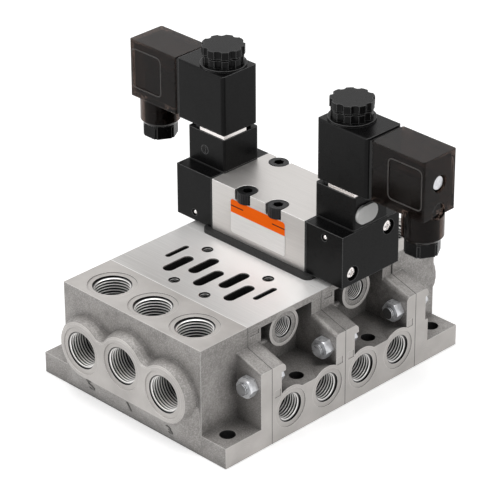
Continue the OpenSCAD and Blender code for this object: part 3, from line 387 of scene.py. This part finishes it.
def plastic(name, color, roughness, grain=0.25, depth=0.03, soft=0.3, gloss=0.35, edge_gleam=0.0):
    """A moulded plastic or rubber, with a painted highlight that lightens its edges by the given
    share.
    """
    m = Material(name, color, roughness, Specular_IOR_Level=gloss)
    m.soften(soft)
    fine = m.noise(grain, 2.0)
    broad = m.noise(11.0, 2.0)
    lighter = tuple(min(1.0, c * 1.25 + 0.001) for c in color)
    base = m.mix(m.span(broad, 0.35, 0.75), color, lighter)
    if edge_gleam:
        # painted highlight: the edges turn lighter grey
        base = m.mix(m.math("MULTIPLY", m.edges(), edge_gleam), base, (0.25, 0.25, 0.25))
    m.set("Base Color", base)
    m.set("Roughness", m.math("ADD", m.span(fine, 0.3, 0.7, roughness - 0.05, roughness + 0.05),
                              m.span(broad, 0.3, 0.7, -0.04, 0.04)))
    m.bump(fine, depth)
    return m.material


def smoked_plastic():
    """Smoked clear plastic that shows the darker block inside it."""
    m = Material("smoked_plastic", (0.17, 0.11, 0.085), 0.12, 0.0,
                 IOR=1.2, Transmission_Weight=0.95, Specular_IOR_Level=0.4)
    m.soften(0.45)
    haze = m.noise(6.0, 3.0)
    tint = m.mix(m.span(haze, 0.3, 0.7), (0.05, 0.033, 0.026), (0.095, 0.064, 0.052))
    # painted highlight: the edges turn lighter
    m.set("Base Color", m.mix(m.math("MULTIPLY", 0.35, m.edges()), tint, (0.3, 0.28, 0.27)))
    m.set("Roughness", m.span(haze, 0.3, 0.7, 0.05, 0.12))
    m.bump(m.noise(2.5, 2.0), 0.02)
    return m.material


def label_foil():
    """A bare label: an orange band with two fine lines over a pale silver field."""
    m = Material("label_foil", (0.6, 0.6, 0.59), 0.42, Specular_IOR_Level=0.06)
    x, _, z = m.axes()
    lo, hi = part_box("name_label")
    half = (hi.x - lo.x) / 2 / MM
    low, high = lo.z / MM, hi.z / MM
    foil = m.noise(0.4, 2.0, (0.05, 1.0, 1.0))
    silver = m.mix(m.span(foil, 0.3, 0.7), (0.75, 0.735, 0.72), (0.81, 0.795, 0.78))
    up = m.math("SUBTRACT", z, (low + high) / 2)
    shape = m.rounded(x, up, half - 0.1, (high - low) / 2 - 0.1, 1.3)
    bare = m.mix(m.span(foil, 0.3, 0.7), (0.5, 0.48, 0.47), (0.56, 0.54, 0.53))
    band = m.span(z, high - 6.35, high - 6.25)
    color = m.mix(band, silver, (1.0, 0.14, 0.0))
    edge = m.math("ABSOLUTE", x)
    line = m.all_of(m.span(edge, half - 7.6, half - 7.5),
                    m.within(z, high - 3.4, high - 2.9, 0.06))
    color = m.mix(line, color, (0.01, 0.01, 0.01))
    m.set("Base Color", m.mix(shape, bare, color))
    m.set("Roughness", m.span(foil, 0.3, 0.7, 0.4, 0.5))
    m.set("Metallic", m.math("MULTIPLY", 0.4, m.math("SUBTRACT", 1.0, band)))
    m.bump(foil, 0.008)
    return m.material


def thread_metal(name, outer, crest, bright=0.75):
    """A cut thread with a painted highlight on its crests and painted shade in its roots, more
    shade the deeper it lies.
    """
    m = Material(name, (0.5, 0.49, 0.48), 0.36, 0.85)
    x, y, z = m.axes()
    height = m.span(m.length(x, y), crest + 0.1, outer - 0.25, 1.0, 0.0)
    depth = m.span(z, -11.0, -2.5, 0.15, 1.0)
    tone = tuple(bright * c for c in (1.0, 0.98, 0.96))
    # painted highlight and shade: light crests, near black roots, darker the deeper down the bore
    m.set("Base Color", m.mix(m.math("MULTIPLY", height, depth), NEAR_BLACK, tone))
    return m.material


MATERIALS = {
    "cast_aluminium": cast_aluminium(),
    "brushed_aluminium": brushed_aluminium(),
    "zinc_steel": zinc_steel(),
    "bright_steel": metal("bright_steel", (0.84, 0.8, 0.78), 0.22, 0.5, 0.01, (0.1, 1, 1)),
    "spring_steel": metal("spring_steel", (0.66, 0.66, 0.67), 0.25, 0.4, 0.01),
    "black_steel": metal("black_steel", (0.03, 0.03, 0.031), 0.36, 0.5, 0.02),
    "black_rubber": plastic("black_rubber", (0.014, 0.014, 0.014), 0.68, 0.3, 0.03),
    "black_plastic": plastic("black_plastic", (0.0028, 0.0028, 0.0029), 0.28, soft=0.55,
                             gloss=0.1, edge_gleam=0.6),
    "white_plastic": plastic("white_plastic", (0.8, 0.8, 0.78), 0.45),
    "smoked_plastic": smoked_plastic(),
    "smoked_edge": plastic("smoked_edge", (0.045, 0.04, 0.037), 0.3),
    "dark_plastic": plastic("dark_plastic", (0.012, 0.011, 0.011), 0.5),
    "grey_plastic": plastic("grey_plastic", (0.55, 0.55, 0.54), 0.4),
    "brass": metal("brass", (0.78, 0.56, 0.25), 0.28, 0.5, 0.01),
    "label_foil": label_foil(),
    # painted shade: the cast numbers take this darker tone, for the shade along their strokes
    "dark_casting": plastic("dark_casting", (0.13, 0.126, 0.12), 0.6, 0.6, 0.05),
}


def dress(obj, slot):
    """Gives a piece the material of a record's slot."""
    obj.data.materials.clear()
    obj.data.materials.append(MATERIALS[slot])


for part in frame["record"]["subparts"]:
    dress(nodes[part["node"]], part["material_slot"])


# ---------------------------------------------------------------- meshes

def looped(name, loops, ring=False):
    """A solid through loops of equal length in millimetres, closed by its ends or as a ring."""
    mesh = bpy.data.meshes.new(name)
    work = bmesh.new()
    rows = [[work.verts.new([c * MM for c in p]) for p in loop] for loop in loops]
    count = len(rows[0])
    for near, far in zip(rows, rows[1:] + rows[:1] if ring else rows[1:]):
        for i in range(count):
            j = (i + 1) % count
            work.faces.new((near[i], near[j], far[j], far[i]))
    if not ring:
        work.faces.new(rows[0][::-1])
        work.faces.new(rows[-1])
    bmesh.ops.recalc_face_normals(work, faces=work.faces)
    work.to_mesh(mesh)
    work.free()
    return mesh


def smooth(mesh, angle):
    """Smooth shading, with edges sharper than angle kept."""
    work = bmesh.new()
    work.from_mesh(mesh)
    for face in work.faces:
        face.smooth = True
    for edge in work.edges:
        flat = len(edge.link_faces) != 2 or edge.calc_face_angle(0.0) > math.radians(angle)
        edge.smooth = not flat
    work.to_mesh(mesh)
    work.free()
    return mesh


def piece(name, mesh, slot, body, place=None):
    """A piece of the object that rides on a body, with the material of a record's slot if its mesh
    has none.
    """
    obj = bpy.data.objects.new(name, mesh)
    bpy.context.scene.collection.objects.link(obj)
    if place is not None:
        obj.matrix_world = place
    if not mesh.materials:
        mesh.materials.append(MATERIALS[slot])
    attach(obj, body)
    return obj


def at(x, y, z, axis=(0, 0, 1)):
    """A matrix that puts a mesh's origin at a point in millimetres, with its Z along axis."""
    turn = Vector(axis).to_track_quat("Z", "Y").to_matrix().to_4x4()
    return Matrix.Translation((x * MM, y * MM, z * MM)) @ turn


def circle(radius, z, count):
    """A loop of count points around Z."""
    return [(radius * math.cos(2 * math.pi * i / count),
             radius * math.sin(2 * math.pi * i / count), z) for i in range(count)]


# ---------------------------------------------------------------- threads

# How far a thread's roots and its sleeve's back lie inside the bore's wall, in millimetres
ROOT_GAP = 0.03
BACK_GAP = 0.004
# The length over which a thread's crests rise at its mouth
RUN_IN = 0.8


def crest_radius(outer, pitch):
    """The inner radius of a thread in a bore of radius outer."""
    return outer - ROOT_GAP - 0.62 * pitch


def thread(name, outer, pitch, length, around):
    """A sleeve with an inner thread of 60 degrees, from z 0 down to minus length."""
    root = outer - ROOT_GAP
    back = outer - BACK_GAP
    crest = crest_radius(outer, pitch)
    # outline points this near to an end of the sleeve are joined to it
    snap = 0.02
    # the outline of one turn, each point as its share of the pitch and its radius
    turn = ((0.0, crest), (0.14, crest), (0.5, root), (0.64, root))
    rows = len(turn) * (math.ceil(length / pitch) + 2)
    mesh = bpy.data.meshes.new(name)
    work = bmesh.new()
    rings = {}
    for key, z, r in (("top", 0.0, root), ("bottom", -length, root),
                      ("back top", 0.0, back), ("back bottom", -length, back)):
        rings[key] = [work.verts.new([c * MM for c in p]) for p in circle(r, z, around)]
    grid = {}
    for i in range(around):
        a = 2 * math.pi * i / around
        for row in range(rows + len(turn) + 1):
            share, r = turn[row % len(turn)]
            z = (1 - row // len(turn) - share - i / around) * pitch
            if z > -snap:
                grid[i, row] = rings["top"][i]
            elif z < -length + snap:
                grid[i, row] = rings["bottom"][i]
            else:
                r = root - (root - r) * min(1.0, -z / RUN_IN)
                grid[i, row] = work.verts.new((r * math.cos(a) * MM, r * math.sin(a) * MM, z * MM))
    for i in range(around):
        j = (i + 1) % around
        # past the last step around, the outline is one turn further down
        drop = 0 if j else len(turn)
        for row in range(rows):
            corners = []
            for corner in (grid[i, row], grid[j, row + drop],
                           grid[j, row + drop + 1], grid[i, row + 1]):
                if corner not in corners:
                    corners.append(corner)
            if len(corners) > 2:
                work.faces.new(corners)
        for near, far in (("top", "back top"), ("back top", "back bottom"),
                          ("back bottom", "bottom")):
            work.faces.new((rings[near][i], rings[near][j], rings[far][j], rings[far][i]))
    bmesh.ops.recalc_face_normals(work, faces=work.faces)
    work.to_mesh(mesh)
    work.free()
    return smooth(mesh, 30)


THREADS = {}
# the last number of each kind is its crests' painted light level, lower in the smaller holes,
# where more shade falls
for kind, outer, pitch, length, around, bright in (
        ("large", 8.33, 1.337, 11.2, 72, 0.95), ("middle", 6.58, 1.337, 11.2, 64, 0.85),
        ("small", 4.86, 0.907, 8.4, 48, 0.65), ("tap", M5_R, M5_PITCH, 10.5, 28, 0.2)):
    mesh = thread("thread_" + kind, outer, pitch, length, around)
    mesh.materials.append(thread_metal("cut_thread_" + kind, outer,
                                       crest_radius(outer, pitch), bright))
    THREADS[kind] = mesh


def cut_thread(name, kind, x, y, z, axis):
    """A threaded sleeve whose mouth is at a point in millimetres and opens along axis."""
    piece(name, THREADS[kind], "cast_aluminium", "manifold", at(x, y, z, axis))


for side, way in (("near", -1), ("rear", 1)):
    for number in range(3):
        x = (number - 1) * PORT_PITCH
        z = PORT_Z + (PORT_RISE if number == 1 else 0.0)
        cut_thread(f"{side}_port_thread_{number}", "large",
                   x, way * (MOUTH_Y - 0.5), z, (0, way, 0))
        cut_thread(f"{side}_top_thread_{number}", "large",
                   x, way * TOP_PORT_Y, TOP_Z - 0.5, (0, 0, 1))
for number, y in enumerate(OUTLET_Y):
    cut_thread(f"outlet_thread_{number}", "middle", OUTLET_X - 0.5, y, OUTLET_Z, (1, 0, 0))
for side, way in SIDES:
    for number, y in enumerate(PILOT_Y):
        cut_thread(f"pilot_port_thread_{side}_{number}", "small",
                   way * (PILOT_X - 0.5), y, PILOT_Z, (way, 0, 0))
for x, y in FIXINGS:
    for side, way in SIDES:
        cut_thread(f"tap_thread_{side}_{x}", "tap", way * x, FREE_Y + y, TOP_Z - 0.1, (0, 0, 1))


# ---------------------------------------------------------------- screws, springs and small parts

def knurl(radius, height):
    """The knurled skin of a socket head screw, a ring of teeth."""
    teeth = 30
    tooth = 0.13
    low = 0.2
    inner = radius - 0.6

    def loop(z):
        points = []
        for i in range(teeth * 2):
            r = radius + tooth - (tooth if i % 2 else 0.0)
            a = math.pi * i / teeth
            points.append((r * math.cos(a), r * math.sin(a), z))
        return points
    return looped("knurl", [loop(low), loop(height - 0.5),
                            circle(radius - 0.25, height, teeth * 2),
                            circle(inner, height, teeth * 2),
                            circle(inner, low, teeth * 2)], ring=True)


KNURL = knurl(4.25, 5.03)
KNURL_Z = 69.8
for row, (x, y) in enumerate(FIXINGS):
    for side, way in SIDES:
        piece(f"screw_knurl_{side}_{row}", KNURL, "black_steel", "manifold",
              at(way * x, VALVE_Y + y, KNURL_Z))


def cross_face():
    """The domed face of a cross recessed screw, from z 0 up."""
    radius, base, rise = 2.62, 0.1, 0.62
    # half length and half width of the cross's arms, the run of their walls and their floor
    wing, half, wall, floor = 1.55, 0.42, 0.14, 0.04
    rings = 14
    around = 64

    def height(x, y):
        dome = base + rise * math.sqrt(max(0.0, 1 - (math.hypot(x, y) / radius) ** 2))
        slot = max(min(half - abs(x), wing - abs(y)), min(half - abs(y), wing - abs(x)))
        return dome - min(max(slot / wall, 0.0), 1.0) * (dome - floor)
    loops = [circle(radius, 0.0, around)]
    for ring in range(rings + 1):
        r = radius * (1 - ring / (rings + 0.5))
        loops.append([(x, y, height(x, y)) for x, y, _ in circle(r, 0.0, around)])
    return smooth(looped("cross_face", loops), 25)


# Faces of the end caps' screws, as distances from the row's, valve's and spool's middles
CROSS_FACE = cross_face()
CAP_FACE_X = 47.15
CAP_SCREW_Y = 10.7
CAP_SCREW_Z = 6.85
for side, way in SIDES:
    for number, far in enumerate((-1, 1)):
        piece(f"cap_screw_face_{side}_{number}", CROSS_FACE, "bright_steel", "manifold",
              at(way * CAP_FACE_X, VALVE_Y + far * CAP_SCREW_Y, SPOOL_Z + far * CAP_SCREW_Z,
                 (way, 0, 0)))


def window_rim(across, up, corner):
    """A rounded rectangular rim that frames a connector's window, along XY."""
    wide = 0.5
    tall = 0.14
    sunk = -0.2
    steps = 6

    def outline(grow, z):
        points = []
        for turn in range(4):
            mid = (turn + 0.5) * math.pi / 2
            cx = math.copysign(across - corner, math.cos(mid))
            cy = math.copysign(up - corner, math.sin(mid))
            for step in range(steps + 1):
                a = turn * math.pi / 2 + step * math.pi / (2 * steps)
                points.append((cx + (corner + grow) * math.cos(a),
                               cy + (corner + grow) * math.sin(a), z))
        return points
    return smooth(looped("window_rim", [
        outline(wide, sunk), outline(wide, tall * 0.4), outline(wide * 0.7, tall),
        outline(wide * 0.3, tall), outline(0.0, tall * 0.4), outline(0.0, sunk)], ring=True), 50)


WINDOW_RIM = window_rim(8.7, 8.8, 2.0)
WINDOW_RIM.materials.append(MATERIALS["smoked_edge"])
# Middle of the windows, on both sides of the connectors
WINDOW_X = 74.7
WINDOW_OUT = 9.5
WINDOW_Z = 106.0
for side, way in SIDES:
    for face, out in (("near", -1), ("rear", 1)):
        piece(f"window_rim_{side}_{face}", WINDOW_RIM, "smoked_plastic", "manifold",
              at(way * WINDOW_X, VALVE_Y + out * WINDOW_OUT, WINDOW_Z, (0, out, 0)))


def coil_spring(name, radius, wire, length, turns, ends=0.75):
    """A wound spring along Z from 0 to length, with closed ends."""
    steps = 20
    ring = 8
    total = int((turns + 2 * ends) * steps)
    loops = []
    for i in range(total + 1):
        a = 2 * math.pi * i / steps
        t = min(max(i / steps - ends, 0.0), turns) / turns
        rise = wire + (length - 2 * wire - 2 * 2 * wire * ends) * t
        rise += 2 * wire * min(i / steps, ends)
        rise += 2 * wire * max(0.0, i / steps - ends - turns)
        loops.append([((radius + wire * math.cos(b)) * math.cos(a),
                       (radius + wire * math.cos(b)) * math.sin(a),
                       rise + wire * math.sin(b))
                      for b in (2 * math.pi * k / ring for k in range(ring))])
    return smooth(looped(name, loops), 60)


for side, way in SIDES:
    lo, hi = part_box(f"{side}_plunger_spring")
    mesh = coil_spring(f"{side}_plunger_coil", radius=1.9, wire=0.3,
                       length=(hi.z - lo.z) / MM, turns=6)
    spring = piece(f"{side}_plunger_coil", mesh, "spring_steel", "manifold",
                   at(way * STEM_X, VALVE_Y, lo.z / MM))
    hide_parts(f"{side}_plunger_spring")
    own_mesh(spring)
    lo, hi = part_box(f"{side}_override_spring")
    long = (hi.y - lo.y) / MM
    foot = lo.y if way > 0 else hi.y
    middle = (lo + hi) / 2
    mesh = coil_spring(f"{side}_override_coil", radius=1.5, wire=0.16,
                       length=long, turns=2, ends=0.5)
    spring = piece(f"{side}_override_coil", mesh, "spring_steel", "manifold",
                   at(middle.x / MM, foot / MM, middle.z / MM, (0, way, 0)))
    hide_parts(f"{side}_override_spring")
    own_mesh(spring)


# ---------------------------------------------------------------- cast numbers

def cast_number(text, x, z, size):
    """A raised number on the near end plate's front, laid onto the casting."""
    proud = 0.3 * MM
    sunk = -0.3 * MM
    curve = bpy.data.curves.new("number_" + text, "FONT")
    curve.body = text
    curve.size = size * MM
    curve.extrude = 0.5 * MM
    curve.align_x = "CENTER"
    curve.align_y = "CENTER"
    curve.resolution_u = 2
    made = bpy.data.objects.new("number_curve", curve)
    bpy.context.scene.collection.objects.link(made)
    bpy.context.view_layer.update()
    graph = bpy.context.evaluated_depsgraph_get()
    mesh = bpy.data.meshes.new_from_object(made.evaluated_get(graph))
    bpy.data.objects.remove(made)
    work = bmesh.new()
    work.from_mesh(mesh)
    bmesh.ops.remove_doubles(work, verts=work.verts, dist=0.001 * MM)
    bmesh.ops.triangulate(work, faces=work.faces)
    bmesh.ops.subdivide_edges(work, edges=work.edges, cuts=3, use_grid_fill=True)
    work.to_mesh(mesh)
    work.free()
    surface = BVHTree.FromObject(nodes["near_end_plate"], bpy.context.evaluated_depsgraph_get())
    outward = Vector((0, -1, 0))
    upward = Vector((0, 0, 1))
    across = upward.cross(outward)
    for vertex in mesh.vertices:
        u, v, w = vertex.co
        point = Vector((x * MM, 0, z * MM))
        point += across * u + upward * v + outward * 0.2
        hit = surface.ray_cast(point, -outward)
        ground = hit[0] if hit[0] is not None else point
        vertex.co = ground + outward * (proud if w > 0 else sunk)
    mesh.name = "number_" + text
    # painted shade: the number is darker than the casting around it
    mesh.materials.append(MATERIALS["dark_casting"])
    piece("number_" + text, mesh, "cast_aluminium", "manifold")


for text, x, z, size in (("5", -20.8, 8.9, 8.6), ("1", 2.2, 8.4, 7.6), ("3", 25.8, 7.4, 7.0)):
    cast_number(text, x, z, size)


# ---------------------------------------------------------------- floor, lamps and world

def joined(tree, kind, *sources, **settings):
    """A new node of a tree whose first inputs take the given outputs."""
    node = tree.nodes.new(kind)
    for key, value in settings.items():
        setattr(node, key, value)
    for socket, source in zip(node.inputs, sources):
        tree.links.new(source, socket)
    return node


def camera_share(tree):
    """1 for the rays that show the background, seen straight, mirrored or through plastic."""
    rays = tree.nodes.new("ShaderNodeLightPath").outputs
    share = rays["Is Camera Ray"]
    for kind in ("Is Glossy Ray", "Is Transmission Ray"):
        share = joined(tree, "ShaderNodeMath", share, rays[kind], operation="MAXIMUM").outputs[0]
    return share


def make_floor():
    """A pale floor that keeps the object's shadow and fades into the white background."""
    half = 6.0
    low = -0.0002
    mesh = bpy.data.meshes.new("floor")
    mesh.from_pydata([(-half, -half, low), (half, -half, low), (half, half, low),
                      (-half, half, low)], [], [(0, 1, 2, 3)])
    obj = bpy.data.objects.new("floor", mesh)
    bpy.context.scene.collection.objects.link(obj)
    material = bpy.data.materials.new("floor")
    material.use_nodes = True
    tree = material.node_tree
    shader = next(n for n in tree.nodes if n.type == "BSDF_PRINCIPLED")
    shader.inputs["Base Color"].default_value = (0.86, 0.86, 0.86, 1)
    shader.inputs["Roughness"].default_value = 0.9
    shader.inputs["Specular IOR Level"].default_value = 0.0
    # far from the object the lamps fade, and the floor's own white takes over
    place = tree.nodes.new("ShaderNodeTexCoord").outputs["Object"]
    away = joined(tree, "ShaderNodeVectorMath", place, operation="LENGTH").outputs["Value"]
    fade = joined(tree, "ShaderNodeMapRange", away)
    for socket, value in zip(list(fade.inputs)[1:5], (0.25, 0.9, 0.45, 1.0)):
        socket.default_value = value
    strength = joined(tree, "ShaderNodeMath", camera_share(tree), fade.outputs[0],
                      operation="MULTIPLY")
    glow = tree.nodes.new("ShaderNodeEmission")
    tree.links.new(strength.outputs[0], glow.inputs["Strength"])
    both = joined(tree, "ShaderNodeAddShader", shader.outputs[0], glow.outputs[0])
    out = next(n for n in tree.nodes if n.type == "OUTPUT_MATERIAL")
    tree.links.new(both.outputs[0], out.inputs[0])
    mesh.materials.append(material)


def make_world():
    """A studio that is white where it is seen, and dimmer as a light."""
    world = bpy.data.worlds.new("studio")
    bpy.context.scene.world = world
    world.use_nodes = True
    tree = world.node_tree
    background = next(n for n in tree.nodes if n.type == "BACKGROUND")
    background.inputs["Color"].default_value = (1, 1, 1, 1)
    share = joined(tree, "ShaderNodeMapRange", camera_share(tree))
    share.inputs[3].default_value = 0.25
    share.inputs[4].default_value = 1.0
    tree.links.new(share.outputs[0], background.inputs["Strength"])


def lamp(name, location, size, watts):
    """An area lamp that looks at the object's middle."""
    target = (0, 0, 0.06)
    data = bpy.data.lights.new(name, "AREA")
    data.shape = "RECTANGLE"
    data.size, data.size_y = size
    data.energy = watts
    obj = bpy.data.objects.new(name, data)
    bpy.context.scene.collection.objects.link(obj)
    obj.location = location
    obj.rotation_euler = (Vector(target) - Vector(location)).to_track_quat("-Z", "Y").to_euler()


make_floor()
make_world()
lamp("key", (-0.45, -0.8, 0.75), (0.7, 0.5), 4.5)
lamp("fill", (1.0, -0.15, 0.6), (0.6, 0.6), 3.1)
lamp("top", (0.0, 0.1, 1.15), (0.9, 0.9), 6.0)
lamp("back", (-0.75, 0.8, 0.75), (0.9, 0.6), 0.4)

bpy.context.scene.view_settings.view_transform = "Standard"
